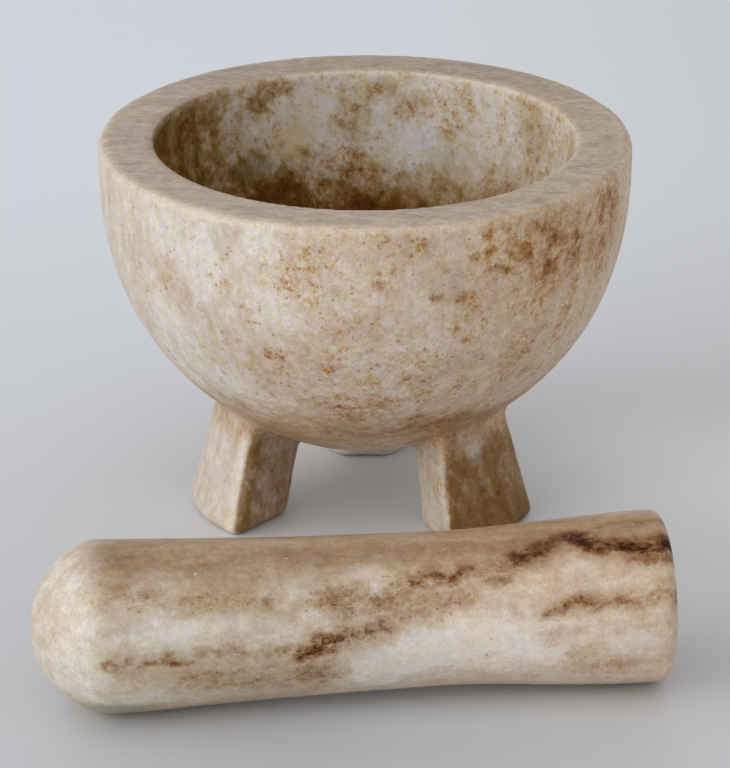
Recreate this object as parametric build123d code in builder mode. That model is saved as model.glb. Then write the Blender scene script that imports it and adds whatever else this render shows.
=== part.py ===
"""A stone mortar on three carved legs, with its loose pestle lying in front.

Millimetres, +Z up. The origin is on the mortar's axis, at the surface it stands on.
The mortar is one carved block, bowl and legs together. The pestle is a second block.
"""

import os
from math import cos, radians, sin, tan

from build123d import *

# Bowl
RIM_DIAMETER = 127.0
RIM_WIDTH = 13.4  # the flat ring on top, with both of its edges
RIM_OUTER_EDGE = 1.8
RIM_INNER_EDGE = 1.2
MORTAR_HEIGHT = 91.0
BOWL_HEIGHT = 77.0  # from the rim down to the underside
BOWL_UPRIGHT = 2.55  # a higher power keeps the outside upright for longer
BOWL_ROUND = 1.63  # 2 makes the underside an ellipse, less makes it more pointed
HOLLOW_DEPTH = 61.0
HOLLOW_UPRIGHT = 2.5
HOLLOW_ROUND = 1.75

# Legs: three wedges left of a ring foot that widens downwards
LEG_AZIMUTHS = [200.5, 321.0, 90.0]  # degrees from +X, seen from above
FOOT_RADIUS = 42.8
FOOT_FLARE = 15.5  # degrees, how far the outside leans out
FOOT_INNER_RADIUS = 22.5
FOOT_INNER_FLARE = 17.0  # degrees, how far the inside leans out
WEDGE_START = 12.0  # from the axis to where the two sides of a leg would meet
WEDGE_ANGLE = 64.0  # degrees between the two sides of a leg
LEG_CORNER = 2.2
FOOT_EDGE = 2.0
LEG_ROOT = 1.4  # the hollow curve where a leg grows out of the bowl

# Pestle: a domed head, a waisted grip and a crowned butt
PESTLE_LENGTH = 144.6
HEAD_DIAMETER = 39.4
DOME_LENGTH = 15.6
DOME_RIDGE = 4.0  # softens the corner between the dome and the grip
HEAD_TAPER = 0.05  # how steeply the grip narrows behind the dome
WAIST_DIAMETER = 34.8
WAIST_FROM_TIP = 92.3
BUTT_DIAMETER = 39.0
BUTT_CROWN = 2.0  # how far the middle of the butt stands out
BUTT_EDGE = 2.4
PESTLE_GAP = 35.4  # clear of the rim, seen from above, where the mortar's axis crosses
PESTLE_YAW = 8.3  # degrees, the butt lies farther back than the head
HEAD_REACH = 58.9  # from the mortar's axis out to the ridge of the dome

CURVE_STEPS = 6


def bowl_curve(radius, depth, upright, roundness):
    """Half section of a bowl, from the rim down to its axis: a quarter of a superellipse."""
    angles = [radians(90 * step / CURVE_STEPS) for step in range(CURVE_STEPS)]
    curve = [(radius * cos(a) ** (2 / roundness), depth * sin(a) ** (2 / upright)) for a in angles]
    return [(r, MORTAR_HEIGHT - d) for r, d in curve] + [(0, MORTAR_HEIGHT - depth)]


rim_radius = RIM_DIAMETER / 2
hollow_radius = rim_radius - RIM_WIDTH
leg_top = MORTAR_HEIGHT - 0.7 * BOWL_HEIGHT  # inside the wall of the bowl

# Legs, each with soft corners and a soft edge round its foot
with BuildPart() as legs:
    with BuildSketch(Plane.XZ):
        with BuildLine():
            outside = PolarLine(
                (FOOT_RADIUS, 0), leg_top, 90 + FOOT_FLARE, length_mode=LengthMode.VERTICAL
            )
            inside = PolarLine(
                (FOOT_INNER_RADIUS, 0), leg_top, 90 + FOOT_INNER_FLARE, length_mode=LengthMode.VERTICAL
            )
            Line(outside @ 0, inside @ 0)
            Line(outside @ 1, inside @ 1)
        make_face()
    revolve(axis=Axis.Z)
    with BuildSketch():
        for azimuth in LEG_AZIMUTHS:
            with Locations(Location((0, 0, 0), (0, 0, azimuth))):
                with Locations((WEDGE_START, 0)):
                    Triangle(
                        b=2 * FOOT_RADIUS,
                        c=2 * FOOT_RADIUS,
                        A=WEDGE_ANGLE,
                        rotation=90,
                        align=(Align.CENTER, Align.MAX),
                    )
    extrude(amount=leg_top, mode=Mode.INTERSECT)
    corners = legs.edges().filter_by(lambda edge: abs(edge.tangent_at(0.5).Z) > 0.5)
    fillet(corners, LEG_CORNER)
    foot_faces = legs.faces().group_by(Axis.Z)[0]
    fillet(foot_faces.edges(), FOOT_EDGE)

# Mortar: the bowl grows into its legs, then it is hollowed out
with BuildPart() as mortar:
    with BuildSketch(Plane.XZ):
        with BuildLine():
            outside = Spline(
                *bowl_curve(rim_radius, BOWL_HEIGHT, BOWL_UPRIGHT, BOWL_ROUND),
                tangents=[(0, -1), (-1, 0)],
            )
            Polyline(outside @ 1, (0, MORTAR_HEIGHT), outside @ 0)
        make_face()
    revolve(axis=Axis.Z)
    fillet(mortar.edges().group_by(Axis.Z)[-1], RIM_OUTER_EDGE)
    add(legs)
    fillet(mortar.edges(Select.NEW), LEG_ROOT)
    with BuildSketch(Plane.XZ):
        with BuildLine():
            inside = Spline(
                *bowl_curve(hollow_radius, HOLLOW_DEPTH, HOLLOW_UPRIGHT, HOLLOW_ROUND),
                tangents=[(0, -1), (-1, 0)],
            )
            Polyline(inside @ 1, (0, MORTAR_HEIGHT), inside @ 0)
        make_face()
    revolve(axis=Axis.Z, mode=Mode.SUBTRACT)
    rim_circles = mortar.edges().filter_by(GeomType.CIRCLE).group_by(Axis.Z)[-1]
    fillet(rim_circles.sort_by(SortBy.RADIUS)[0], RIM_INNER_EDGE)

# Pestle, lying on the widest rings of its head and its butt
head_radius = HEAD_DIAMETER / 2
waist_radius = WAIST_DIAMETER / 2
butt_radius = BUTT_DIAMETER / 2
grip_length = PESTLE_LENGTH - DOME_LENGTH - BUTT_EDGE - BUTT_CROWN
dome_radius = (head_radius**2 + DOME_LENGTH**2) / (2 * DOME_LENGTH)
crown_radius = (butt_radius**2 + BUTT_CROWN**2) / (2 * BUTT_CROWN)

slope = tan(radians(PESTLE_YAW))
clear_of_rim = rim_radius + PESTLE_GAP + head_radius
head_centre = Vector(-HEAD_REACH, -clear_of_rim - HEAD_REACH * slope, head_radius)
along = Vector(grip_length, grip_length * slope, butt_radius - head_radius).normalized()
lying = Plane(head_centre, along, along.cross(Vector(0, 0, 1)))

with BuildPart() as pestle:
    with BuildSketch(lying) as half:
        with BuildLine():
            dome = RadiusArc((-DOME_LENGTH, 0), (0, head_radius), dome_radius)
            grip = Spline(
                dome @ 1,
                (WAIST_FROM_TIP - DOME_LENGTH, waist_radius),
                (grip_length, butt_radius),
                tangents=[(1, -HEAD_TAPER), (1, 0)],
            )
            butt = Line(grip @ 1, (grip_length + BUTT_EDGE, butt_radius))
            crown = RadiusArc(butt @ 1, (grip_length + BUTT_EDGE + BUTT_CROWN, 0), crown_radius)
            Line(crown @ 1, dome @ 0)
        make_face()
        fillet(half.vertices().sort_by_distance(dome @ 1)[0], DOME_RIDGE)
        fillet(half.vertices().sort_by_distance(butt @ 1)[0], BUTT_EDGE)
    revolve(axis=Axis(head_centre, along))

mortar.part.label = "mortar"
pestle.part.label = "pestle"
os.makedirs("parts", exist_ok=True)
export_step(mortar.part, "parts/mortar.step")
export_step(pestle.part, "parts/pestle.step")
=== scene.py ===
# %% [markdown]
# # A carved stone mortar and its pestle
# The real object is two stones. The mortar is a deep round bowl on three wedge legs, sawn flat across
# the rim, hollowed and honed by hand. The pestle is a waisted club of the same beige marble.
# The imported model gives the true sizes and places. This lesson carves both stones again inside
# that frame, with the small unevenness of hand work, and then gives them their marble.

# %% Load the frame
import math

import bpy
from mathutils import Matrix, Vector


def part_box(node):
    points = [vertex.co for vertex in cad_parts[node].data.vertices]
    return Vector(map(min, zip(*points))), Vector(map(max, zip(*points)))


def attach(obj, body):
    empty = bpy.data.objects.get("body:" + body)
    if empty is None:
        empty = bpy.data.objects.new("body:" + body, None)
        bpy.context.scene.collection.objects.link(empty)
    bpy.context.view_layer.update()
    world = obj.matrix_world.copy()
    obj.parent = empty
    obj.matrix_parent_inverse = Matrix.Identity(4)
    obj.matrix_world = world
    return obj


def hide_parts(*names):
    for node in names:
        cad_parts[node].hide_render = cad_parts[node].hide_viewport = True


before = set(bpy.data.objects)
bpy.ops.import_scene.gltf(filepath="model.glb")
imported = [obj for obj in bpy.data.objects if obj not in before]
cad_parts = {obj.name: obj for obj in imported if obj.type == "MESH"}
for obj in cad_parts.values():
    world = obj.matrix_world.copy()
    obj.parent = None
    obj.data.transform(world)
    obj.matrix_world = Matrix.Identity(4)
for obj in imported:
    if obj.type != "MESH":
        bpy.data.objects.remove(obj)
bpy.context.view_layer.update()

MM = 0.001
mortar_low, mortar_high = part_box("mortar")
pestle_low, pestle_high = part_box("pestle")
print("the mortar reaches from", mortar_low[:], "to", mortar_high[:])
print("the pestle reaches from", pestle_low[:], "to", pestle_high[:])

# %% [markdown]
# ## Writing rules as arithmetic
# Both the shape of a carved stone and the colour of marble follow rules of position. In Blender such
# a rule is a tree of small nodes, one for each sum, which is slow to read and to write by hand.
# The helper below lets a rule be written as plain arithmetic: each + or * adds its own Math node.
# The class only passes each sign on to the function in the cell after it.

# %% Numbers that flow between nodes
class Reading:
    """A number, vector or colour on its way between nodes."""

    def __init__(self, tree, socket):
        self.tree = tree
        self.socket = socket

    def __add__(self, other):
        return reckon("ADD", self, other)

    def __radd__(self, other):
        return reckon("ADD", other, self)

    def __sub__(self, other):
        return reckon("SUBTRACT", self, other)

    def __rsub__(self, other):
        return reckon("SUBTRACT", other, self)

    def __mul__(self, other):
        return reckon("MULTIPLY", self, other)

    def __rmul__(self, other):
        return reckon("MULTIPLY", other, self)

    def __truediv__(self, other):
        return reckon("DIVIDE", self, other)

    def __pow__(self, other):
        return reckon("POWER", self, other)

    def __neg__(self):
        return reckon("MULTIPLY", self, -1.0)


# %% Sums of readings
def tree_of(*terms):
    """The node tree that the given readings belong to."""
    return next(term.tree for term in terms if isinstance(term, Reading))


def feed(tree, socket, value):
    """Gives an input its value: another node's output, or a plain number, vector or colour."""
    if isinstance(value, Reading):
        tree.links.new(value.socket, socket)
    else:
        socket.default_value = value


def reckon(operation, *terms):
    """One Math node."""
    tree = tree_of(*terms)
    node = tree.nodes.new("ShaderNodeMath")
    node.operation = operation
    for socket, term in zip(node.inputs, terms):
        feed(tree, socket, term)
    return Reading(tree, node.outputs["Value"])


def smaller(a, b):
    return reckon("MINIMUM", a, b)


def larger(a, b):
    return reckon("MAXIMUM", a, b)


def hypotenuse(a, b):
    return reckon("SQRT", a * a + b * b)


# %% [markdown]
# ### Places are vectors
# A place has three coordinates. Some rules need them one by one, such as the height above the table,
# and others need the place as a whole, such as a distance. Blender has separate nodes for each.

# %% Vectors that flow between nodes
def steer(operation, *terms):
    """One Vector Math node, as a vector. Dot products and lengths come out as numbers."""
    tree = tree_of(*terms)
    node = tree.nodes.new("ShaderNodeVectorMath")
    node.operation = operation
    sockets = [node.inputs[0], node.inputs["Scale"]] if operation == "SCALE" else node.inputs
    for socket, term in zip(sockets, terms):
        feed(tree, socket, term)
    number = operation in ("DOT_PRODUCT", "LENGTH", "DISTANCE")
    return Reading(tree, node.outputs["Value" if number else "Vector"])


def apart(vector):
    """The three coordinates of a vector."""
    node = vector.tree.nodes.new("ShaderNodeSeparateXYZ")
    feed(vector.tree, node.inputs[0], vector)
    return [Reading(vector.tree, output) for output in node.outputs]


def together(x, y, z):
    """A vector from three coordinates."""
    tree = tree_of(x, y, z)
    node = tree.nodes.new("ShaderNodeCombineXYZ")
    for socket, term in zip(node.inputs, (x, y, z)):
        feed(tree, socket, term)
    return Reading(tree, node.outputs[0])


# %% [markdown]
# ## Two chisels: a rounded cut and a rounded join
# A stone is described by how far any point lies outside it, in metres, and less than zero inside.
# Where two faces meet, a carver softens the edge, and where a leg grows out of the bowl they
# leave a small hollow curve. Both are one formula: a quarter circle of the given radius across the corner.

# %% Soft edges and hollow roots
def cut_to_both(a, b, edge):
    """What is inside both shapes, with the edge between them rounded."""
    over_a = larger(a + edge, 0.0)
    over_b = larger(b + edge, 0.0)
    return hypotenuse(over_a, over_b) + smaller(larger(a + edge, b + edge), 0.0) - edge


def join(a, b, root):
    """What is inside either shape, with a hollow curve where they meet."""
    under_a = larger(root - a, 0.0)
    under_b = larger(root - b, 0.0)
    return larger(smaller(a, b), root) - hypotenuse(under_a, under_b)


# %% [markdown]
# ## A tool that carves
# Geometry Nodes can fill a box of small cells with any rule and draw a skin where it passes zero.
# The skin is then pulled onto the exact surface: each corner of the mesh moves down the slope
# of the rule. The same tree carves both stones, and only the rule and the sizes change.

# %% Rules as node groups
def size_inputs(tree, sizes):
    """Gives a tree one named input for each size."""
    for name, value in sizes.items():
        socket = tree.interface.new_socket(name, in_out="INPUT", socket_type="NodeSocketFloat")
        socket.default_value = value


def shape_rule(name, sizes, distance):
    """A node group that answers how far a place lies outside a shape."""
    group = bpy.data.node_groups.new(name, "GeometryNodeTree")
    group.interface.new_socket("Place", in_out="INPUT", socket_type="NodeSocketVector")
    size_inputs(group, sizes)
    group.interface.new_socket("Distance", in_out="OUTPUT", socket_type="NodeSocketFloat")
    given = group.nodes.new("NodeGroupInput")
    answer = group.nodes.new("NodeGroupOutput")
    readings = {socket.name: Reading(group, socket) for socket in given.outputs if socket.name}
    place = readings.pop("Place")
    feed(group, answer.inputs["Distance"], distance(place, readings))
    print(name, "is a rule of", len(group.nodes), "nodes")
    return group


def ask(rule, place, given):
    """The rule's answer at a place, with its sizes taken from the tree's own inputs."""
    node = place.tree.nodes.new("GeometryNodeGroup")
    node.node_tree = rule
    feed(place.tree, node.inputs["Place"], place)
    for socket in node.inputs[1:]:
        place.tree.links.new(given.outputs[socket.name], socket)
    return Reading(place.tree, node.outputs["Distance"])


# %% [markdown]
# ### The carving tree
# A skin drawn through cells cuts small corners, as a rough chisel does. Two pulls onto the rule's own
# surface put every point within a hair of it, so the cells can stay large and the mesh light. The tree
# ends in Realize Instances and Set Material, because only real faces with a material can be exported.

# %% Pull a rough skin onto the rule
SLOPE_STEP = 0.1 * MM
LEAST_STEEPNESS = 0.01
PULLS = 2


def pull_onto_surface(tree, given, rule, skin):
    """Moves each point of the skin down the slope of the rule until the rule reads zero."""
    place = Reading(tree, tree.nodes.new("GeometryNodeInputPosition").outputs[0])
    here = ask(rule, place, given)
    steps = ((SLOPE_STEP, 0, 0), (0, SLOPE_STEP, 0), (0, 0, SLOPE_STEP))
    sides = [ask(rule, steer("ADD", place, step), given) for step in steps]
    slope = together(*[(side - here) / SLOPE_STEP for side in sides])
    steepness = steer("DOT_PRODUCT", slope, slope)
    move = tree.nodes.new("GeometryNodeSetPosition")
    tree.links.new(skin, move.inputs["Geometry"])
    feed(tree, move.inputs["Offset"], steer("SCALE", slope, -(here / larger(steepness, LEAST_STEEPNESS))))
    return move.outputs["Geometry"]


# %% Carve a rule out of a box of cells
def carving_tree(name, rule, sizes, low, high, cell, material):
    """A Geometry Nodes tree that carves a rule out of a box of cells."""
    tree = bpy.data.node_groups.new(name, "GeometryNodeTree")
    size_inputs(tree, sizes)
    tree.interface.new_socket("Geometry", in_out="OUTPUT", socket_type="NodeSocketGeometry")
    given = tree.nodes.new("NodeGroupInput")
    result = tree.nodes.new("NodeGroupOutput")
    place = Reading(tree, tree.nodes.new("GeometryNodeInputPosition").outputs[0])
    block = tree.nodes.new("GeometryNodeVolumeCube")
    feed(tree, block.inputs["Density"], -ask(rule, place, given))
    block.inputs["Background"].default_value = -1.0
    block.inputs["Min"].default_value = low
    block.inputs["Max"].default_value = high
    for axis, span in zip("XYZ", high - low):
        block.inputs["Resolution " + axis].default_value = round(span / cell)
    skin = tree.nodes.new("GeometryNodeVolumeToMesh")
    skin.inputs["Threshold"].default_value = 0.0
    tree.links.new(block.outputs["Volume"], skin.inputs["Volume"])
    geometry = skin.outputs["Mesh"]
    for _ in range(PULLS):
        geometry = pull_onto_surface(tree, given, rule, geometry)
    for kind in ("GeometryNodeSetShadeSmooth", "GeometryNodeRealizeInstances", "GeometryNodeSetMaterial"):
        node = tree.nodes.new(kind)
        tree.links.new(geometry, node.inputs["Geometry"])
        geometry = node.outputs["Geometry"]
    node.inputs["Material"].default_value = material
    tree.links.new(geometry, result.inputs["Geometry"])
    return tree


# %% Keep the result as a plain mesh
def carve(name, tree, sizes):
    """Runs a carving tree with its sizes and keeps the result as a plain mesh."""
    blank = bpy.data.objects.new("blank", bpy.data.meshes.new("blank"))
    bpy.context.scene.collection.objects.link(blank)
    chisel = blank.modifiers.new("carve", "NODES")
    chisel.node_group = tree
    for item in tree.interface.items_tree:
        if item.name in sizes:
            chisel[item.identifier] = sizes[item.name]
    evaluated = blank.evaluated_get(bpy.context.evaluated_depsgraph_get())
    mesh = bpy.data.meshes.new_from_object(evaluated)
    mesh.name = name
    bpy.data.objects.remove(blank)
    stone = bpy.data.objects.new(name, mesh)
    bpy.context.scene.collection.objects.link(stone)
    triangles = sum(len(face.vertices) - 2 for face in mesh.polygons)
    print(name, "has", triangles, "triangles")
    return stone


# %% [markdown]
# ## The unevenness of hand work
# No face that a hand has cut is quite true: it swells and dips by half a millimetre over a few
# centimetres. Moving single points at random would only make it rough. Smooth noise, added to the
# distance rule itself, gives long low swells instead, and later the same noise clouds the marble.

# %% Smooth noise
def wander(place, size, detail=2.0, roughness=0.5):
    """Noise from 0 to 1 whose lumps are about size across, in metres."""
    node = place.tree.nodes.new("ShaderNodeTexNoise")
    feed(place.tree, node.inputs["Vector"], place)
    node.inputs["Scale"].default_value = 1 / size
    node.inputs["Detail"].default_value = detail
    node.inputs["Roughness"].default_value = roughness
    return Reading(place.tree, node.outputs["Fac"])


def swells(place, size, depth):
    """Low swells of hand cutting: depth is from the lowest to the highest, in metres."""
    return (wander(place, size, detail=1.0) - 0.5) * depth


# %% [markdown]
# ## The mortar's shape
# Outside and hollow are both superellipses turned about the upright axis: the wall stays upright for
# longer than a ball's would, and then rounds under quickly. Three legs are left of one ring foot that
# widens downwards, each between two straight saw cuts. The rim is sawn flat across both.

# %% Sizes of the mortar
MORTAR_SIZES = {
    "Rim Radius": mortar_high.x,
    "Height": mortar_high.z,
    "Bowl Height": 77 * MM,
    "Bowl Upright": 2.55,
    "Bowl Round": 1.63,
    "Rim Width": 13.4 * MM,
    "Rim Outer Edge": 2.0 * MM,
    "Rim Inner Edge": 1.2 * MM,
    "Hollow Depth": 61 * MM,
    "Hollow Upright": 2.5,
    "Hollow Round": 1.75,
    "Foot Radius": 42.8 * MM,
    "Foot Flare": math.radians(15.5),
    "Foot Inner Radius": 22.5 * MM,
    "Foot Inner Flare": math.radians(17.0),
    "Wedge Start": 12.0 * MM,
    "Wedge Half Angle": math.radians(32.0),
    "Leg Corner": 3.0 * MM,
    "Foot Edge": 2.0 * MM,
    "Leg Root": 2.6 * MM,
}
LEFT_LEG = 200.5
RIGHT_LEG = 321.0
BACK_LEG = 90.0
floor_thickness = MORTAR_SIZES["Bowl Height"] - MORTAR_SIZES["Hollow Depth"]
print("the bowl's floor is", round(floor_thickness / MM, 1), "mm thick")


# %% Rules of the mortar
LEAST_SLOPE = 1.0


def outside_turned_bowl(radius, depth, rim_radius, full_depth, upright, roundness):
    """Distance outside a superellipse turned about the axis: a level, divided by its own slope."""
    across = radius / rim_radius
    down = larger(depth, 0.0) / full_depth
    level = across ** roundness + down ** upright - 1.0
    slope_across = roundness / rim_radius * across ** (roundness - 1.0)
    slope_down = upright / full_depth * down ** (upright - 1.0)
    return level / larger(hypotenuse(slope_across, slope_down), LEAST_SLOPE)


def leg(x, y, z, radius, given, azimuth):
    """Distance outside one wedge leg, before its foot is sawn level."""
    turn = math.radians(azimuth)
    forward = x * math.cos(turn) + y * math.sin(turn)
    sideways = reckon("ABSOLUTE", y * math.cos(turn) - x * math.sin(turn))
    flare = given["Foot Flare"]
    inner_flare = given["Foot Inner Flare"]
    wedge = given["Wedge Half Angle"]
    outside = (radius - given["Foot Radius"] + z * reckon("TANGENT", flare)) * reckon("COSINE", flare)
    inside = given["Foot Inner Radius"] - z * reckon("TANGENT", inner_flare) - radius
    inside = inside * reckon("COSINE", inner_flare)
    side = sideways * reckon("COSINE", wedge) - (forward - given["Wedge Start"]) * reckon("SINE", wedge)
    corner = given["Leg Corner"]
    return cut_to_both(cut_to_both(outside, side, corner), inside, corner)


# %% The whole mortar
LEAST_RADIUS = 0.01 * MM


def mortar_distance(place, given):
    """Distance outside the mortar."""
    x, y, z = apart(place)
    radius = larger(hypotenuse(x, y), LEAST_RADIUS)
    depth = given["Height"] - z
    rim_radius = given["Rim Radius"]
    bowl = outside_turned_bowl(
        radius, depth, rim_radius, given["Bowl Height"], given["Bowl Upright"], given["Bowl Round"]
    )
    legs = [leg(x, y, z, radius, given, azimuth) for azimuth in (LEFT_LEG, RIGHT_LEG, BACK_LEG)]
    all_legs = smaller(smaller(legs[0], legs[1]), legs[2]) + swells(place, 14 * MM, 1.2 * MM)
    all_legs = cut_to_both(all_legs, -z, given["Foot Edge"])
    stone = join(bowl + swells(place, 34 * MM, 0.7 * MM), all_legs, given["Leg Root"])
    worn_edge = given["Rim Outer Edge"] * (0.6 + 0.8 * wander(place, 12 * MM))
    stone = cut_to_both(stone, -depth, worn_edge)
    inner_radius = rim_radius - given["Rim Width"]
    hollow = outside_turned_bowl(
        radius, depth, inner_radius, given["Hollow Depth"], given["Hollow Upright"], given["Hollow Round"]
    )
    return cut_to_both(stone, -hollow, given["Rim Inner Edge"])


# %% [markdown]
# ## The pestle's shape
# The pestle is a club turned about one long axis: a ball-like pounding end, a grip that narrows
# to a waist, and a flatter crowned butt. It lies on the floor on its two widest rings, a little askew.
# Its rule mostly needs two readings at any place: how far along the axis it is, and how far from it.
# The dome alone was ground a little off the axis, upwards as the pestle lies.

# %% Sizes and place of the pestle
PESTLE_SIZES = {
    "Head Radius": 19.7 * MM,
    "Dome Length": 15.6 * MM,
    "Dome Ridge": 0.8 * MM,
    "Waist Radius": 17.4 * MM,
    "Waist Along": 76.7 * MM,
    "Butt Radius": 19.5 * MM,
    "Grip Length": 124.6 * MM,
    "Butt Edge": 2.4 * MM,
    "Butt Crown": 2.0 * MM,
}
YAW = math.radians(8.3)
CLEAR_OF_RIM = 35.4 * MM
HEAD_REACH = 58.9 * MM
head_radius = PESTLE_SIZES["Head Radius"]
axis_away = mortar_high.x + CLEAR_OF_RIM + head_radius
head_centre = Vector((-HEAD_REACH, -axis_away - HEAD_REACH * math.tan(YAW), head_radius))
drop = head_radius - PESTLE_SIZES["Butt Radius"]
long_axis = Vector((math.cos(YAW), math.sin(YAW), -drop / PESTLE_SIZES["Grip Length"])).normalized()
print("the pestle's head is centred at", [round(value / MM, 1) for value in head_centre], "mm")


# %% Rule of the grip
def outside_grip(along, radius, given):
    """Distance outside the waisted grip. Its swell to the head carries on a little under the dome."""
    head, waist, butt = given["Head Radius"], given["Waist Radius"], given["Butt Radius"]
    waist_along, grip_length = given["Waist Along"], given["Grip Length"]
    to_head = smaller(larger((waist_along - along) / waist_along, 0.0), 1.2)
    to_butt = smaller(larger((along - waist_along) / (grip_length - waist_along), 0.0), 1.0)
    towards_head = (head - waist) * to_head * to_head * (1.33 - 0.33 * to_head)
    towards_butt = (butt - waist) * to_butt * to_butt * (3.0 - 2.0 * to_butt)
    return radius - (waist + towards_head + towards_butt)


def cap_radius(rim, height):
    """The radius of the ball that a cap of this rim radius and height is cut from."""
    return (rim * rim + height * height) / (2.0 * height)


# %% The whole pestle
DOME_LIFT = 0.5 * MM


def pestle_distance(place, given):
    """Distance outside the pestle."""
    from_head = steer("SUBTRACT", place, head_centre)
    along = steer("DOT_PRODUCT", from_head, long_axis)
    radius = steer("LENGTH", steer("CROSS_PRODUCT", from_head, long_axis))
    hand_ground = swells(place, 28 * MM, 0.6 * MM)
    grip = outside_grip(along, radius, given) + hand_ground
    dome_length = given["Dome Length"]
    dome_radius = cap_radius(given["Head Radius"], dome_length)
    above_axis = steer("SUBTRACT", from_head, (0.0, 0.0, DOME_LIFT))
    dome_reach = steer("LENGTH", steer("CROSS_PRODUCT", above_axis, long_axis))
    dome = hypotenuse(smaller(along + dome_length - dome_radius, 0.0), dome_reach) - dome_radius
    crown_height = given["Butt Crown"]
    crown_radius = cap_radius(given["Butt Radius"], crown_height)
    crown_top = given["Grip Length"] + given["Butt Edge"] + crown_height
    crown = hypotenuse(larger(along - crown_top + crown_radius, 0.0), radius) - crown_radius
    club = cut_to_both(grip, dome + hand_ground, given["Dome Ridge"])
    return cut_to_both(club, crown + hand_ground, given["Butt Edge"])


# %% [markdown]
# ## Writing colours
# The same arithmetic writes materials. Marble is a crowd of crystals, stained along the beds it was
# laid down in. So its colour is built up the way the stone was: a pale ground, clouds, warm stains that
# follow the beds, then fine dark grains. All of it reads the place on the stone, never the camera.

# %% Paints, layers and glazes
def paint(red, green, blue):
    """A colour as written on a paint card, 0 to 255, as the light that it sends back."""
    linear = [((value / 255 + 0.055) / 1.055) ** 2.4 for value in (red, green, blue)]
    return (*linear, 1.0)


def blend_colours(amount, under, over, way="MIX"):
    """Lays one colour over another, as strongly as amount says."""
    tree = tree_of(amount, under, over)
    node = tree.nodes.new("ShaderNodeMix")
    node.data_type = "RGBA"
    node.blend_type = way
    for name, value in (("Factor_Float", amount), ("A_Color", under), ("B_Color", over)):
        socket = next(socket for socket in node.inputs if socket.identifier == name)
        feed(tree, socket, value)
    return Reading(tree, next(socket for socket in node.outputs if socket.identifier == "Result_Color"))


def glaze(amount, colour, film):
    """Lays a thin clear film over a colour. It tints what is there and never hides it."""
    return blend_colours(amount, colour, film, "MULTIPLY")


def rise(value, low, high, way="SMOOTHSTEP"):
    """0 below low, 1 above high, and a soft rise between. It falls if high comes first."""
    node = value.tree.nodes.new("ShaderNodeMapRange")
    node.interpolation_type = way
    turned = low > high
    feed(value.tree, node.inputs["Value"], value)
    node.inputs["From Min"].default_value = min(low, high)
    node.inputs["From Max"].default_value = max(low, high)
    node.inputs["To Min"].default_value = 1.0 if turned else 0.0
    node.inputs["To Max"].default_value = 0.0 if turned else 1.0
    return Reading(value.tree, node.outputs["Result"])


def toned(tone, *steps):
    """A colour that runs from paint to paint as tone rises. Each step is a tone and its paint."""
    colour = steps[0][1]
    for (low, _), (high, over) in zip(steps, steps[1:]):
        colour = blend_colours(rise(tone, low, high, "LINEAR"), colour, over)
    return colour


# %% [markdown]
# ### Stains in their places
# Noise alone gives a stone that is the same all round, but a real one has its own marks: a brown
# shoulder, a pale cheek. Each is a soft patch at a place on the stone, given in millimetres, and the
# place is shaken a little before it is read, so that no patch keeps a drawn outline.

# %% Patches with ragged edges
def elsewhere(place, seed):
    """The same place seen far off in the noise, so that two noises don't match."""
    return steer("ADD", place, (0.31 * seed, 0.17 * seed, 0.23 * seed))


def shift(place, size, amount, detail=2.0):
    """Moves a place about at random, so that what is drawn there gets ragged edges."""
    node = place.tree.nodes.new("ShaderNodeTexNoise")
    feed(place.tree, node.inputs["Vector"], place)
    node.inputs["Scale"].default_value = 1 / size
    node.inputs["Detail"].default_value = detail
    centred = steer("SUBTRACT", Reading(place.tree, node.outputs["Color"]), (0.5, 0.5, 0.5))
    return steer("MULTIPLY_ADD", centred, (2 * amount,) * 3, place)


def patch(place, centre, size, soft=0.6):
    """1 at a centre, given in millimetres, and nothing beyond size, which may differ along X, Y and Z."""
    from_centre = steer("SUBTRACT", place, tuple(value * MM for value in centre))
    share = steer("MULTIPLY", from_centre, tuple(1 / (value * MM) for value in size))
    return rise(steer("LENGTH", share), 1.0, 1.0 - soft)


def placed(place, stains):
    """Many patches added up. Each has a centre and a size in millimetres, and a strength."""
    total = 0.0
    for centre, size, strength in stains:
        total = total + strength * patch(place, centre, size, soft=0.9)
    return total


# %% [markdown]
# ### Grains and the honed face
# Marble is made of crystals that can just be seen. Some hold a dark grain, and each one sends back
# a little more or less light than its neighbour. Voronoi cells make both, because they pack as crystals
# do. Modelling grains under a tenth of a millimetre would take millions of faces, so they are bump.

# %% Crystals and their grains
GRAIN_REACH = 0.42
GRAIN_SOFTNESS = 0.24


def crystal_cells(place, size):
    """The node that packs space with crystals of this size, in metres."""
    node = place.tree.nodes.new("ShaderNodeTexVoronoi")
    feed(place.tree, node.inputs["Vector"], place)
    node.inputs["Scale"].default_value = 1 / size
    return node


def specks(place, size, chance):
    """Round dark grains, at most one to a crystal. Chance says how many crystals have one."""
    cells = crystal_cells(place, size)
    lot = apart(Reading(place.tree, cells.outputs["Color"]))[0]
    reach = GRAIN_REACH * rise(chance - lot, 0.0, 0.2)
    return rise(reach - Reading(place.tree, cells.outputs["Distance"]), 0.0, GRAIN_SOFTNESS)


def crystal_shades(place, size):
    """One random number from 0 to 1 for each crystal."""
    return apart(Reading(place.tree, crystal_cells(place, size).outputs["Color"]))[1]


# %% Start and honed end of a material
def start_material(name):
    """A new node material: its tree, its Principled shader and the place on the stone."""
    material = bpy.data.materials.new(name)
    material.use_nodes = True
    tree = material.node_tree
    shader = tree.nodes["Principled BSDF"]
    place = Reading(tree, tree.nodes.new("ShaderNodeTexCoord").outputs["Object"])
    return material, tree, shader, place


def tally(tree, layer):
    """Prints how far the material has grown with this layer."""
    print(layer + ":", len(tree.nodes), "nodes so far")


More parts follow.
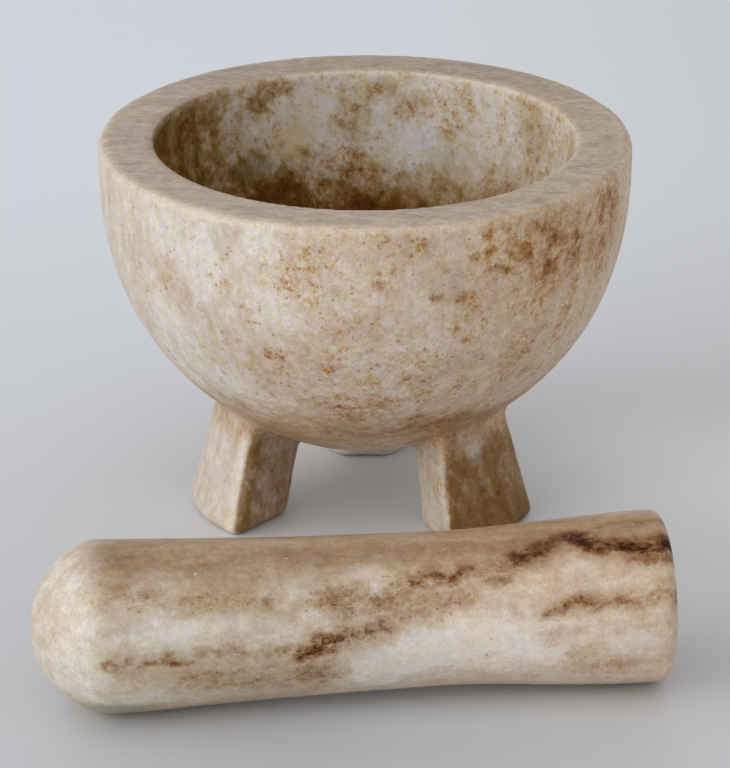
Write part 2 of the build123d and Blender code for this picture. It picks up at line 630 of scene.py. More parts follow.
def hone(tree, shader, colour, lightness, relief, depth):
    """Gives the shader its colour, lit crystal by crystal, and a fine relief of this depth."""
    colour = glaze(1.0, colour, together(lightness, lightness, lightness))
    feed(tree, shader.inputs["Base Color"], colour)
    bump = tree.nodes.new("ShaderNodeBump")
    bump.inputs["Distance"].default_value = depth
    bump.inputs["Strength"].default_value = 0.5
    feed(tree, bump.inputs["Height"], relief)
    feed(tree, shader.inputs["Normal"], Reading(tree, bump.outputs["Normal"]))


# %% [markdown]
# ## Marble of the mortar
# The beds of this marble stand upright and run across the mortar, so they show as upright streaks on
# its left and right, level streaks under it and on the rim, and broad blotches in front and behind.
# That comes from one squeeze: every cloud is narrower along Y. The colour is then one tone,
# from brown through cream to chalk: noise moves it a little everywhere, and placed stains move it a lot.

# %% Noises of the mortar
mortar_marble, tree, shader, place = start_material("mortar_marble")
x, y, z = apart(place)
radius = hypotenuse(x, y)
ragged = shift(place, 5 * MM, 3.5 * MM, detail=5.0)
uneven = shift(place, 0.7 * MM, 0.3 * MM)
beds = steer("MULTIPLY", place, (1.0, 2.0, 0.8))
clouds = wander(beds, 18 * MM, detail=3.0, roughness=0.6)
mottle = wander(elsewhere(beds, 2), 5 * MM, detail=6.0, roughness=0.9)
blush = wander(elsewhere(beds, 3), 3.2 * MM, detail=2.0, roughness=0.6)
crowds = wander(elsewhere(beds, 5), 12 * MM, detail=4.0, roughness=0.7)
crumbs = wander(elsewhere(place, 12), 3.0 * MM, detail=5.0, roughness=0.85)
flecks = wander(elsewhere(place, 14), 1.6 * MM, detail=3.0, roughness=0.8)
sand = wander(elsewhere(place, 4), 2 * MM, detail=4.0, roughness=1.0)
shades = crystal_shades(uneven, 1.3 * MM)
tally(tree, "noises of the mortar")

# %% [markdown]
# ### Outside of the bowl
# The bowl's face is cream and chalky with brown shoulders, mostly at the right and along the underside;
# there the brown is partly stain and partly painted shade, on the side turned from the lamp and under the
# bowl.
# A painted image would do it, but it would stretch round the bowl and need a file of its own. A list of
# soft patches is enough, because the clouds and crumbs break each one into the stone's own pattern.

# %% Pale and brown places of the bowl
BOWL_PALE_PLACES = [
    ((-46, -43, 82), (8, 12, 10), 0.22),
    ((-38, -50, 77), (8, 10, 14), 0.30),
    ((-45, -39, 59), (9, 10, 9), 0.26),
    ((-25, -58, 86), (8, 8, 9), 0.20),
    ((-22, -58, 68), (11, 9, 11), 0.20),
    ((8, -57, 58), (20, 10, 12), 0.24),
    ((22, -57, 62), (13, 10, 8), 0.18),
    ((-32, -42, 46), (12, 12, 7), 0.16),
    ((-37, -51, 84), (3, 6, 7), 0.22),
    ((-26, -58, 87), (3, 6, 5), 0.16),
    ((-33, -51, 66), (4, 8, 4), 0.20),
    ((-24, -57, 67), (4, 8, 3), 0.18),
]
# Brown places are stains, and at the right edge and under the bowl they are partly painted shade.
BOWL_BROWN_AND_SHADE_PLACES = [
    ((-47, -42, 72), (3, 8, 12), 0.30),
    ((-17, -61, 79), (6, 7, 6), 0.22),
    ((-21, -54, 56), (9, 8, 4), 0.24),
    ((-30, -54, 66), (6, 7, 8), 0.16),
    ((-8, -57, 54), (7, 7, 5), 0.20),
    ((8, -56, 52), (9, 7, 4), 0.22),
    ((37, -51, 88), (14, 11, 5), 0.26),
    ((43, -45, 79), (13, 12, 11), 0.30),
    ((42, -44, 79), (26, 28, 19), 0.44),
    ((29, -56, 79), (12, 10, 5), 0.34),
    ((12, -62, 87), (9, 8, 5), 0.28),
    ((21, -59, 73), (8, 7, 4), 0.24),
    ((23, -55, 60), (8, 7, 4), 0.22),
    ((56, -28, 80), (10, 18, 20), 0.44),
    ((-4, -51, 43), (26, 10, 4), 0.22),
    ((18, -39, 34), (30, 12, 5), 0.34),
    ((-15, -45, 38), (18, 10, 4), 0.14),
]
pale_here = placed(ragged, BOWL_PALE_PLACES)
brown_and_shade_here = placed(ragged, BOWL_BROWN_AND_SHADE_PLACES)
print("the bowl has", len(BOWL_PALE_PLACES), "pale and", len(BOWL_BROWN_AND_SHADE_PLACES), "brown places")

# %% Colour of the bowl's outside
# Darker under the bowl and warmer to the right: partly stain, partly painted shade.
underside_stain_and_shade = rise(z + 10 * MM * (clouds - 0.5), 42 * MM, 32 * MM)
low_down = rise(z, 72 * MM, 54 * MM)
tone = 0.71 + 0.7 * (clouds - 0.5) + 1.3 * (mottle - 0.5) + 0.8 * pale_here
tone = tone - brown_and_shade_here * (0.22 + 0.42 * rise(crumbs, 0.44, 0.60))
tone = tone - 0.34 * underside_stain_and_shade - 0.45 * low_down * (crumbs - 0.5)
colour = toned(
    tone,
    (0.0, paint(142, 104, 64)),
    (0.36, paint(186, 154, 118)),
    (0.62, paint(210, 190, 168)),
    (0.95, paint(227, 217, 203)),
)
WARM_STAIN_AND_SHADE_FILM = (1.0, 0.90, 0.75, 1.0)
COOL_FILM = (0.91, 0.95, 1.00, 1.0)
warm_stain_and_shade_side = rise(x + 40 * MM * (clouds - 0.5), 0.0, 44 * MM)
cool_side = rise(x + 30 * MM * (clouds - 0.5), 0.0, -44 * MM)
colour = glaze(0.8 * warm_stain_and_shade_side, colour, WARM_STAIN_AND_SHADE_FILM)
colour = glaze(cool_side, colour, COOL_FILM)
tally(tree, "outside of the bowl")

# %% [markdown]
# ### Stains of the hollow
# The hollow's floor and left wall are deep brown, with an olive spot among them, while its right wall
# is pale with upright streaks. The brown is partly stain and partly painted shade: it deepens towards the
# floor and on the left wall, which the rim keeps from the lamp. The hollow is one stone with the outside,
# so the shape's own formula says which face a place is on, without a seam.

# %% Where the hollow is, and how deep its stain and painted shade
HOLLOW_STAINS = [
    ((-25, 42, 84), (7, 9, 5), -0.30),
    ((-22, 45, 88), (8, 10, 6), -0.36),
    ((-18, 46, 80), (12, 10, 9), 0.38),
    ((-13, 48, 84), (6, 9, 5), 0.26),
    ((-15, 44, 70), (6, 7, 5), -0.06),
    ((-32, 36, 68), (6, 9, 6), -0.20),
    ((-23, 40, 64), (7, 9, 4), -0.12),
    ((-2, 49, 80), (8, 8, 9), -0.26),
    ((4, 50, 86), (10, 8, 5), -0.22),
    ((12, 48, 83), (6, 8, 6), -0.26),
    ((10, 47, 71), (12, 10, 6), 0.40),
    ((5, 44, 58), (11, 12, 4), -0.14),
    ((25, 42, 86), (3, 8, 6), -0.16),
    ((22, 44, 77), (3, 8, 9), -0.10),
    ((32, 37, 82), (6, 10, 12), 0.20),
    ((41, 28, 82), (7, 14, 14), -0.24),
]
inner_radius = MORTAR_SIZES["Rim Radius"] - MORTAR_SIZES["Rim Width"]
across_hollow = larger(radius, 0.1 * MM) / inner_radius
down_hollow = larger(mortar_high.z - z, 0.0) / MORTAR_SIZES["Hollow Depth"]
hollow_level = across_hollow ** MORTAR_SIZES["Hollow Round"]
hollow_level = hollow_level + down_hollow ** MORTAR_SIZES["Hollow Upright"]
in_hollow = rise(hollow_level, 1.10, 1.04)
blotches = wander(elsewhere(place, 9), 5 * MM, detail=5.0, roughness=0.75)
# Stain and painted shade: darker on the left wall, which the rim keeps from the lamp, and towards the
# hollow's floor.
shaded_left_wall = 0.62 * rise(x + 14 * MM * (clouds - 0.5), -22 * MM, -48 * MM)
wandering_height = z - 5 * MM * rise(x, -8 * MM, -30 * MM)
wandering_height = wandering_height + 12 * MM * (clouds - 0.5) + 9 * MM * (blotches - 0.5)
shaded_lowest_floor = rise(wandering_height, 68 * MM, 54 * MM) * (0.52 - 0.26 * rise(x, 5 * MM, 25 * MM))
shaded_deep_floor = 0.26 * rise(wandering_height, 78 * MM, 64 * MM) + shaded_lowest_floor
deep_stain_and_shade = larger(shaded_left_wall, shaded_deep_floor) + 0.3 * smaller(shaded_left_wall, shaded_deep_floor)
print("the hollow has", len(HOLLOW_STAINS), "stains of its own")

# %% Colour of the hollow
tall = steer("MULTIPLY", place, (1.2, 1.2, 0.4))
upright = wander(elsewhere(tall, 8), 6 * MM, detail=3.0, roughness=0.7)
calm = 1.0 - 0.5 * rise(x, -10 * MM, 25 * MM)
hollow_tone = 0.82 + calm * (0.25 * (upright - 0.5) + 1.1 * (blotches - 0.5) - 0.7 * (crumbs - 0.5))
hollow_tone = hollow_tone + placed(ragged, HOLLOW_STAINS) - deep_stain_and_shade
hollow_colour = toned(
    hollow_tone,
    (-0.20, paint(76, 38, 4)),
    (0.16, paint(117, 80, 24)),
    (0.40, paint(161, 130, 86)),
    (0.64, paint(200, 185, 162)),
    (0.88, paint(219, 212, 202)),
)
colour = blend_colours(in_hollow, colour, hollow_colour)
tally(tree, "hollow")

# %% Olive, ochre, cool and maroon spots of the hollow
OILY_FILM = (0.98, 0.96, 0.90, 1.0)
CHALKY_FILM = (1.00, 1.01, 1.04, 1.0)
OCHRE_FILM = (0.97, 0.84, 0.58, 1.0)
COOL_SPOT_FILM = (0.95, 1.00, 1.07, 1.0)
olive = patch(ragged, (-28, 40, 69), (8, 14, 5))
ochre_spot = patch(ragged, (-18, 46, 74), (9, 9, 8), soft=0.9)
cool_spot = patch(ragged, (15, 46, 72), (15, 12, 9), soft=0.9)
maroon = patch(ragged, (-23, 39, 62), (4, 12, 3), soft=0.9)
colour = blend_colours(0.45 * in_hollow * olive, colour, paint(104, 96, 54))
hollow_hue = blend_colours(rise(blotches, 0.40, 0.60), OILY_FILM, CHALKY_FILM)
colour = glaze(calm * in_hollow, colour, hollow_hue)
colour = glaze(in_hollow * ochre_spot, colour, OCHRE_FILM)
colour = glaze(in_hollow * cool_spot, colour, COOL_SPOT_FILM)
colour = blend_colours(0.7 * in_hollow * maroon, colour, paint(98, 48, 22))
tally(tree, "spots of the hollow")

# %% [markdown]
# ### Brown faces and pale ridge of the legs
# The left leg's right side and the right leg's front face away from the lamp and are brown, partly as
# stain and partly as painted shade. The right leg's front darkens further towards its foot, and the left
# leg's side near its outer face. The ridge between the left leg's two faces is a painted highlight.
# The saw cuts are planes that the shape already knows, so these marks read their distance from them.

# %% Faces of the legs
def saw_cut(place, azimuth, hand):
    """Distance outside one side face of a leg. Hand is 1 for the side at larger azimuths, else -1."""
    half_angle = MORTAR_SIZES["Wedge Half Angle"]
    turn = math.radians(azimuth) + hand * half_angle
    facing = (-hand * math.sin(turn), hand * math.cos(turn), 0.0)
    return steer("DOT_PRODUCT", place, facing) + MORTAR_SIZES["Wedge Start"] * math.sin(half_angle)


on_legs = rise(z + 12 * MM * (clouds - 0.5), 27 * MM, 19 * MM)
unsure = 2.5 * MM * (mottle - 0.5)
on_left_leg = rise(x, 0.0, -8 * MM)
on_right_leg = rise(x, 8 * MM, 14 * MM) * rise(y, -6 * MM, -14 * MM)
left_cut = saw_cut(place, LEFT_LEG, 1) + unsure
right_cut = saw_cut(place, RIGHT_LEG, -1) + unsure
# Brown faces, part stain and part painted shade, and a painted highlight on the left leg's ridge.
left_side_stain_and_shade = rise(left_cut, -2.2 * MM, -0.8 * MM) * on_left_leg
right_front_stain_and_shade = rise(right_cut, -0.6 * MM, -2.0 * MM) * on_right_leg
painted_highlight_ridge = rise(left_cut, -6.0 * MM, -2.8 * MM) * (1.0 - left_side_stain_and_shade) * on_left_leg
behind_ridge = MORTAR_SIZES["Foot Radius"] - math.tan(MORTAR_SIZES["Foot Flare"]) * z - radius
ridge_stain_and_shade = rise(behind_ridge + 30 * MM * (blotches - 0.5), 11 * MM, 1 * MM)
leg_stain_and_shade = larger(left_side_stain_and_shade, right_front_stain_and_shade)
tally(tree, "faces of the legs")

# %% Colour of the legs
LEG_FILM = (0.99, 1.01, 1.08, 1.0)
leg_tone = 0.66 + 0.3 * (upright - 0.5) + 0.6 * (blotches - 0.5) + 0.6 * (mottle - 0.5)
# Stain and painted shade darken the faces turned from the lamp, and the ridge gets a painted highlight.
leg_tone = leg_tone - 0.24 * left_side_stain_and_shade - 0.38 * right_front_stain_and_shade
leg_tone = leg_tone + 0.18 * painted_highlight_ridge + 0.3 * patch(ragged, (26, -26, 25), (7, 8, 6))
leg_tone = leg_tone - 0.12 * rise(z, 12 * MM, 2 * MM) * right_front_stain_and_shade
leg_tone = leg_tone - 0.13 * left_side_stain_and_shade * ridge_stain_and_shade
leg_colour = toned(
    leg_tone,
    (-0.1, paint(98, 62, 20)),
    (0.28, paint(144, 107, 56)),
    (0.62, paint(197, 183, 165)),
    (0.90, paint(218, 206, 189)),
)
leg_colour = glaze(0.6 * cool_side, leg_colour, LEG_FILM)
colour = blend_colours(on_legs, colour, leg_colour)
# Painted light: the back leg's foot sits in the bowl's shade and is painted pale as if lit.
painted_light_back_foot = rise(y, 10 * MM, 20 * MM) * rise(z, 9 * MM, 6 * MM)
colour = blend_colours(0.7 * painted_light_back_foot, colour, paint(228, 224, 216))
tally(tree, "legs")

# %% [markdown]
# ### Rust and crumbs
# Iron rust has crept along the grain boundaries: a soft ochre halo with a ragged darker core. It
# gathers in crowds, some at places of their own and the rest wherever the stone is brown already.
# One reading says how likely rust is, and the crumbs of the stone then decide where it shows.
# Under it, each lump of the stone leans a little to pink or to yellow.

# %% Where rust is likely
RUST_PLACES = [
    ((12, -62, 87), (3, 4, 3), 0.16),
    ((25, -58, 82), (3, 4, 2), 0.24),
    ((29, -56, 83), (4, 4, 2), 0.20),
    ((31, -55, 78), (5, 5, 2), 0.16),
    ((37, -51, 81), (5, 5, 4), 0.22),
    ((44, -46, 82), (3, 3, 3), 0.24),
    ((43, -46, 75), (6, 5, 3), 0.24),
    ((28, -57, 87), (3, 4, 3), 0.20),
    ((39, -50, 87), (3, 4, 2), 0.15),
    ((22, -58, 72), (3, 4, 2), 0.20),
    ((16, -60, 73), (4, 4, 3), 0.20),
    ((23, -55, 60), (3, 4, 2), 0.18),
    ((49, -40, 81), (3, 4, 3), 0.16),
    ((-48, -42, 88), (3, 4, 3), 0.16),
    ((-21, -55, 57), (4, 4, 3), 0.10),
    ((-8, -57, 54), (3, 4, 2), 0.19),
    ((1, -55, 49), (5, 4, 3), 0.18),
    ((-17, -61, 77), (3, 4, 4), 0.16),
    ((4, -63, 77), (4, 4, 3), 0.14),
    ((-14, -62, 85), (3, 4, 3), 0.16),
]
rust_chance = 0.7 * (crowds - 0.5) + 0.09 * smaller(brown_and_shade_here, 0.9)
rust_chance = rust_chance + 0.02 * warm_stain_and_shade_side - 0.05 * cool_side + placed(uneven, RUST_PLACES)
print("rust crowds at", len(RUST_PLACES), "places")

# %% Rust of the mortar
PINK_FILM = (1.02, 0.985, 1.06, 1.0)
YELLOW_FILM = (0.97, 0.965, 0.86, 1.0)
RUST_HALO_FILM = (0.93, 0.79, 0.60, 1.0)
RUST_CORE_FILM = (0.72, 0.54, 0.32, 1.0)
FLECK_FILM = (0.88, 0.77, 0.62, 1.0)
hue = blend_colours(rise(blush, 0.38, 0.62), PINK_FILM, YELLOW_FILM)
colour = glaze(1.0, colour, hue)
rust_field = crumbs + rust_chance
colour = glaze(0.9 * rise(rust_field, 0.53, 0.66), colour, RUST_HALO_FILM)
colour = glaze(0.9 * rise(rust_field, 0.62, 0.76), colour, RUST_CORE_FILM)
fleck_here = rise(flecks + 0.6 * rust_chance + 0.3 * (crumbs - 0.5), 0.50, 0.64)
colour = glaze(0.7 * fleck_here * (1.0 - 0.5 * cool_side), colour, FLECK_FILM)
tally(tree, "rust")

# %% [markdown]
# ### Dark grains
# Grains of ore the size of a pinhead are strewn through the stone, most of them where it has rusted.
# Two sizes of crystal cell, each with its own chance of a grain, are enough to look unplanned.
# One thin grey cloud, under the rim in front, goes over them.

# %% Grains of the mortar
BROWN_GRAIN_FILM = (0.56, 0.46, 0.33, 1.0)
RED_GRAIN_FILM = (0.62, 0.40, 0.25, 1.0)
grain_chance = 0.24 + 2.2 * rust_chance + 1.4 * (crumbs - 0.5)
grain_chance = smaller(larger(grain_chance, 0.03), 0.8) * (1.0 - 0.5 * on_legs)
coarse = specks(elsewhere(uneven, 6), 1.5 * MM, grain_chance)
fine = specks(elsewhere(uneven, 7), 0.9 * MM, grain_chance)
dark = larger(0.85 * coarse, 0.8 * fine) * (1.0 - 0.3 * in_hollow)
redder = rise(wander(elsewhere(place, 8), 5 * MM), 0.42, 0.58)
grain_film = blend_colours(redder, BROWN_GRAIN_FILM, RED_GRAIN_FILM)
colour = glaze(dark, colour, grain_film)
grey_cloud = patch(ragged, (19, -60, 76), (9, 10, 8), soft=0.9)
colour = blend_colours(0.4 * grey_cloud, colour, paint(176, 166, 154))
tally(tree, "dark grains")

# %% [markdown]
# ### Sawn rim
# The rim was sawn flat and never polished, so it is greyer and duller than the rest, with the beds
# as fine level streaks. Its two rounded corners carry a painted highlight, and they are rings of a known
# radius and height, so their place is a distance from a ring.

# %% Rim and the painted highlight on its corners
RIM_ROSE_FILM = (1.0, 0.91, 0.84, 1.0)
RIM_BACK_FILM = (0.83, 0.82, 0.80, 1.0)
rim_streaks = wander(steer("MULTIPLY", place, (0.45, 1.0, 1.0)), 3.5 * MM, detail=5.0, roughness=0.85)
rim_top = rise(z, mortar_high.z - 0.5 * MM, mortar_high.z - 0.1 * MM)
rim_tone = 0.6 * rim_streaks + 0.4 * mottle
rim_colour = blend_colours(rise(rim_tone, 0.40, 0.59), paint(167, 149, 134), paint(205, 188, 170))
rim_colour = glaze(0.6 * rise(blush, 0.42, 0.62), rim_colour, RIM_ROSE_FILM)
rim_colour = blend_colours(0.3 * rise(clouds, 0.4, 0.6), rim_colour, paint(198, 178, 156))
rim_back = rise(y + 20 * MM * (clouds - 0.5), 14 * MM, 56 * MM)
rim_colour = glaze(rim_back, rim_colour, RIM_BACK_FILM)
colour = blend_colours(0.9 * rim_top, colour, rim_colour)
from_outer_ring = hypotenuse(radius - (mortar_high.x - 1.5 * MM), z - (mortar_high.z - 1.4 * MM))
from_inner_ring = hypotenuse(radius - (inner_radius + 0.7 * MM), z - (mortar_high.z - 0.7 * MM))
# Painted highlight along the rim's two rounded corners.
outer_corner_highlight = rise(from_outer_ring, 2.4 * MM, 1.2 * MM)
inner_corner_highlight = rise(from_inner_ring, 1.8 * MM, 0.6 * MM)
colour = blend_colours(0.28 * larger(outer_corner_highlight, 0.7 * inner_corner_highlight), colour, paint(218, 198, 172))
tally(tree, "rim")

# %% [markdown]
# ### Honed face of the mortar
# The stone is honed, not polished: it has a broad soft shine, less in the hollow and where the stone is
# painted brown, by stain and by painted shade.
# The sand noise moves light, roughness and relief together, so a grain looks the same in all three.

# %% Finish of the mortar
lightness = 1.0 + (1.1 - 0.6 * in_hollow - 0.4 * cool_side) * (sand - 0.5) + 0.07 * (shades - 0.5)
relief = sand + 0.5 * mottle - 0.5 * dark + 0.4 * rim_top * rim_streaks
hone(tree, shader, colour, lightness, relief, depth=0.12 * MM)
roughness = 0.42 + 0.16 * dark + 0.25 * rim_top + 0.12 * (sand - 0.5)
feed(tree, shader.inputs["Roughness"], roughness)
dull_where_painted_brown = larger(leg_stain_and_shade * on_legs, smaller(brown_and_shade_here, 1.0))
feed(tree, shader.inputs["Specular IOR Level"], 0.45 - 0.4 * in_hollow - 0.25 * dull_where_painted_brown)
tally(tree, "whole marble of the mortar")

# %% [markdown]
# ## Marble of the pestle
# The pestle was cut along the beds, so its clouds and veins run lengthwise. A dark vein crosses it
# from the butt down towards the head in broken steps, with paler streaks beside it. Its colour is one
# tone again, read in the pestle's own directions: along it, across it and up.

# %% Noises of the pestle
pestle_marble, tree, shader, place = start_material("pestle_marble")
from_head = steer("SUBTRACT", place, head_centre)
back = Vector((0, 0, 1)).cross(long_axis).normalized()
up = long_axis.cross(back)
along, across, above = [steer("DOT_PRODUCT", from_head, axis) for axis in (long_axis, back, up)]
local = together(along, across, above)
ragged = shift(local, 6 * MM, 3.5 * MM, detail=6.0)
uneven = shift(place, 0.7 * MM, 0.3 * MM)
beds = steer("MULTIPLY", local, (0.22, 1.0, 1.0))
clouds = wander(beds, 7 * MM, detail=3.0, roughness=0.6)
strands = wander(elsewhere(beds, 1), 2.5 * MM, detail=4.0, roughness=0.8)
mottle = wander(elsewhere(local, 3), 4 * MM, detail=6.0, roughness=0.9)
half_drawn = steer("MULTIPLY", local, (0.5, 1.0, 1.0))
blush = wander(elsewhere(half_drawn, 2), 4 * MM, detail=4.0, roughness=0.7)
barely_drawn = steer("MULTIPLY", local, (0.7, 1.0, 1.0))
crystals = wander(elsewhere(barely_drawn, 5), 1.8 * MM, detail=4.0, roughness=0.9)
sand = wander(elsewhere(place, 4), 2 * MM, detail=4.0, roughness=1.0)
shades = crystal_shades(uneven, 1.2 * MM)
tally(tree, "noises of the pestle")

# %% [markdown]
# ### Veins of the pestle
# Each vein is a soft line between two points, given in millimetres along the grip and degrees up
# round it. A vein doesn't paint a colour: it pulls the tone down, as the clouds do, so it turns tan
# first and dark brown only at its heart, and the strands of the beds break it up.

# %% Lines on the grip
GRIP_RADIUS = 18.6 * MM


def on_grip(along_grip, angle):
    """A point on the pestle: millimetres along the grip, degrees up from its front."""
    turn = math.radians(angle)
    return Vector((along_grip * MM, -GRIP_RADIUS * math.cos(turn), GRIP_RADIUS * math.sin(turn)))


def streak(place, start, end, width):
    """1 on the line from start to end, soon less beside it, and 0 beyond its width."""
    whole = end - start
    from_start = steer("SUBTRACT", place, start)
    share = steer("DOT_PRODUCT", from_start, whole / whole.length_squared)
    share = smaller(larger(share, 0.0), 1.0)
    nearest = steer("SCALE", tuple(whole), share)
    closeness = rise(steer("DISTANCE", from_start, nearest), width, 0.0)
    return closeness * (0.3 + 0.7 * closeness ** 3.0)


# %% Veins
# Each vein: where it starts, along and round the grip, where it ends, its width and its strength.
VEINS = [
    (106, 69, 113, 60, 4.6, 0.64),
    (111, 60, 130, 58, 3.8, 0.94),
    (118, 50, 130, 50, 4.0, 0.36),
    (106, 80, 128, 87, 4.0, 0.18),
    (107, 76, 92, 55, 5.2, 0.58),
    (92, 54, 84, 46, 6.0, 0.32),
    (82, 49, 69, 44, 5.0, 0.66),
    (90, 41, 86, 41, 4.0, 0.36),
    (66, 34, 50, 31, 9.0, 0.42),
    (80, 31, 66, 22, 8.0, 0.34),
    (62, 12, 52, 6, 5.4, 0.62),
    (53, 7, 43, -4, 5.8, 0.74),
    (43, -3, 21, 3, 5.5, 0.32),
    (18, -4, -1, -2, 2.8, 0.48),
    (36, 36, -2, 40, 6.0, 0.28),
    (14, 39, -1, 40, 3.0, 0.34),
    (98, 18, 108, 20, 3.4, 0.52),
    (107, 19, 129, 26, 3.8, 0.40),
    (98, -3, 99, -4, 7.0, 0.24),
    (104, -23, 114, -26, 10.0, 0.20),
    (83, -14, 88, -12, 6.0, 0.18),
    (50, -24, 44, -20, 11.0, 0.42),
    (42, -22, 18, -20, 12.0, 0.25),
]
SPREAD = 1.2
vein = 0.0
for start_along, start_angle, end_along, end_angle, width, strength in VEINS:
    start = on_grip(start_along, start_angle)
    end = on_grip(end_along, end_angle)
    vein = larger(vein, strength * streak(ragged, start, end, SPREAD * width * MM))
vein = vein * (0.5 + 0.75 * rise(crystals, 0.38, 0.62) + 0.4 * rise(strands, 0.40, 0.60))
print("the pestle has", len(VEINS), "veins")

# %% [markdown]
# ### Ground of the pestle
# Between the veins the stone is cream with chalky clouds, browner in a band along its top and pinker
# towards the butt. The top band is partly stain and partly painted shade, where the upward face gets less
# light, and the lower front is painted paler in places as a painted reflection of the pale table.
# The same tone ramp carries ground and veins, so a vein fades into its surroundings with no outline,
# as a stain in stone does.

# %% Colour of the pestle
# Pale places are clouds of the stone; the two at 46 and 60 mm along are also a painted reflection of the
# pale table.
PESTLE_PALE_AND_REFLECTION_PLACES = [
    ((-9, -18, -3), (10, 14, 12), 0.20),
    ((12, -12, 15), (14, 8, 6), 0.18),
    ((14, -18, 6), (14, 6, 5), 0.16),
    ((59, -11, 14), (9, 7, 5), 0.24),
    ((46, -17, 6), (7, 6, 4), 0.12),
    ((60, -17, -7), (16, 8, 7), 0.44),
    ((84, -18, -3), (28, 9, 12), 0.42),
    ((106, -12, 14), (7, 6, 4), 0.22),
    ((116, -18, -2), (14, 9, 6), 0.14),
]
pale_head = rise(along + 10 * MM * (clouds - 0.5), 4 * MM, -5 * MM)
# The band along the top is partly stain and partly painted shade.
top_band_stain_and_shade = rise(above + 4 * MM * (clouds - 0.5), 11.5 * MM, 17 * MM) * rise(along, -8 * MM, 4 * MM)
tone = 0.69 + 0.7 * (clouds - 0.5) + 0.2 * (strands - 0.5) + 0.9 * (mottle - 0.5)
tone = tone + placed(ragged, PESTLE_PALE_AND_REFLECTION_PLACES) + 0.04 * pale_head - 0.36 * top_band_stain_and_shade - vein
colour = toned(
    tone,
    (-0.40, paint(60, 30, 10)),
    (0.0, paint(124, 80, 40)),
    (0.34, paint(170, 140, 107)),
    (0.64, paint(201, 181, 157)),
    (0.94, paint(226, 217, 205)),
)
tally(tree, "ground of the pestle")

# %% Tints of the pestle
LILAC_FILM = (1.00, 0.995, 1.04, 1.0)
STRAW_FILM = (0.99, 0.975, 0.89, 1.0)
PINK_BUTT_FILM = (1.13, 1.07, 1.05, 1.0)
PALE_HEAD_FILM = (0.97, 0.99, 1.02, 1.0)
hue = blend_colours(rise(blush, 0.38, 0.62), LILAC_FILM, STRAW_FILM)
colour = glaze(1.0, colour, hue)
pink_butt = rise(along + 20 * MM * (clouds - 0.5), 50 * MM, 84 * MM)
colour = glaze(0.8 * pink_butt, colour, PINK_BUTT_FILM)
colour = glaze(pale_head, colour, PALE_HEAD_FILM)
olive = patch(ragged, (2, -12, -15), (13, 9, 5))
colour = blend_colours(0.75 * olive, colour, paint(150, 150, 122))
tally(tree, "tints of the pestle")

# %% [markdown]
# ### Honed face of the pestle
# Palms keep the pestle a little shinier than the mortar, except in the veins, whose softer stone is
# worn dull. A few crystals catch the light as pale sparks. The helper that finished the mortar is used
# again, because both stones were honed with the same sand.

# %% Finish of the pestle
DARK_GRAIN_FILM = (0.58, 0.44, 0.32, 1.0)
grain_chance = smaller(0.07 + 0.8 * (blush - 0.5) + 1.3 * vein, 0.8)
dark = specks(elsewhere(uneven, 6), 1.0 * MM, grain_chance)
colour = glaze(0.75 * dark, colour, DARK_GRAIN_FILM)
sparkle = rise(wander(elsewhere(place, 7), 1.0 * MM, detail=0.0), 0.83, 0.88)
colour = blend_colours(0.5 * sparkle * rise(vein, 0.3, 0.0), colour, paint(236, 230, 220))
lightness = 1.0 + 0.8 * (sand - 0.5) + 0.06 * (shades - 0.5)
hone(tree, shader, colour, lightness, sand + 0.5 * mottle - 0.3 * vein, depth=0.10 * MM)
feed(tree, shader.inputs["Roughness"], 0.36 + 0.14 * vein + 0.3 * (sand - 0.5))
feed(tree, shader.inputs["Specular IOR Level"], 0.5 - 0.45 * smaller(vein, 1.0))
tally(tree, "whole marble of the pestle")

# %% [markdown]
# ## Carving both stones
# Each stone is now cut from a box of cells a little larger than itself, to its own sizes. It stands in
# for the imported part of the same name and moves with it. The pestle gets finer cells, because it lies
# nearer and its dome has a sharper ridge.

# %% Carve a stone by its rule
MARGIN = Vector((2 * MM, 2 * MM, 2 * MM))
MORTAR_CELL = 0.92 * MM
PESTLE_CELL = 0.62 * MM


def carve_stone(name, sizes, distance, low, high, cell, marble):
    """One stone, from its rule and sizes to its finished mesh."""
    rule = shape_rule(name + "_shape", sizes, distance)
    tree = carving_tree("carve_" + name, rule, sizes, low - MARGIN, high + MARGIN, cell, marble)
    return carve(name + "_block", tree, sizes)


# %% Mortar
mortar = carve_stone(
    "mortar", MORTAR_SIZES, mortar_distance, mortar_low, mortar_high, MORTAR_CELL, mortar_marble
)
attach(mortar, "mortar")
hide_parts("mortar")

# %% Pestle
pestle = carve_stone(
    "pestle", PESTLE_SIZES, pestle_distance, pestle_low, pestle_high, PESTLE_CELL, pestle_marble
)
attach(pestle, "pestle")
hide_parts("pestle")

# %% [markdown]
# ## Table top
# The stones stand on a plain pale table that runs far past the view, so that no edge shows. Its paint
# is a little cooler and lighter towards the back and warmer to the right, as painted light falling off
# across it. It is painted lighter right of the legs and beside the pestle, as painted light over their
# shadows, and dimmer in front of the pestle, as a painted shadow.

# %% Floor
TABLE_REACH = 3.0
sides = ((-1, -1), (1, -1), (1, 1), (-1, 1))
corners = [(side_x * TABLE_REACH, side_y * TABLE_REACH, 0) for side_x, side_y in sides]
floor_mesh = bpy.data.meshes.new("floor")
floor_mesh.from_pydata(corners, [], [(0, 1, 2, 3)])
floor = bpy.data.objects.new("floor", floor_mesh)
bpy.context.scene.collection.objects.link(floor)
floor_paint, tree, shader, place = start_material("pale_table")
floor_mesh.materials.append(floor_paint)
print("the table is", 2 * TABLE_REACH, "m square")

